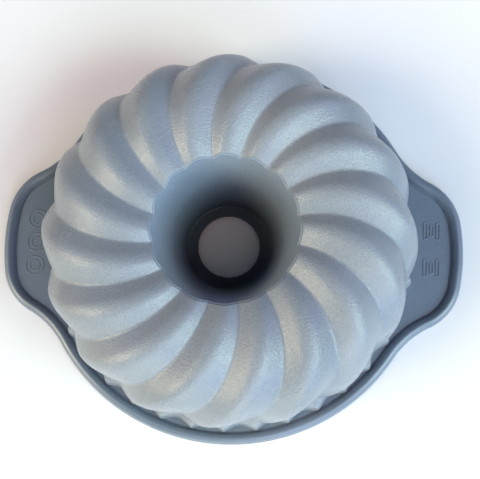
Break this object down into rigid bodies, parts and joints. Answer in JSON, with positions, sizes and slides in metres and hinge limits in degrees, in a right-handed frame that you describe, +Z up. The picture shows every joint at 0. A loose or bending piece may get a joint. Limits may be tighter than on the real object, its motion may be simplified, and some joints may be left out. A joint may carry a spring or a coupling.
{
  "type": "bundt pan",
  "caption": "Flexible ring-cake mould with swirled flutes, a stepped centre tube, and a wire-stiffened rim with two flat handles.",
  "frame": {"origin": "middle of the plane that the rim rests on, crown up", "axes": "+X along the handles, +Z up through the centre tube"},
  "size_m": [0.3086, 0.26, 0.0799],
  "materials": {
    "frosted_silicone": "fine sandblasted matt, pale blue-grey",
    "tube_silicone": "smooth satin, blue-grey",
    "rim_silicone": "smooth satin, slate blue",
    "frame_steel": "drawn wire, bright"
  },
  "bodies": {
    "root": {"fluted_mould": "frosted_silicone", "centre_tube": "tube_silicone", "rim_flange": "rim_silicone", "rim_wire": "frame_steel"}
  },
  "joints": []
}
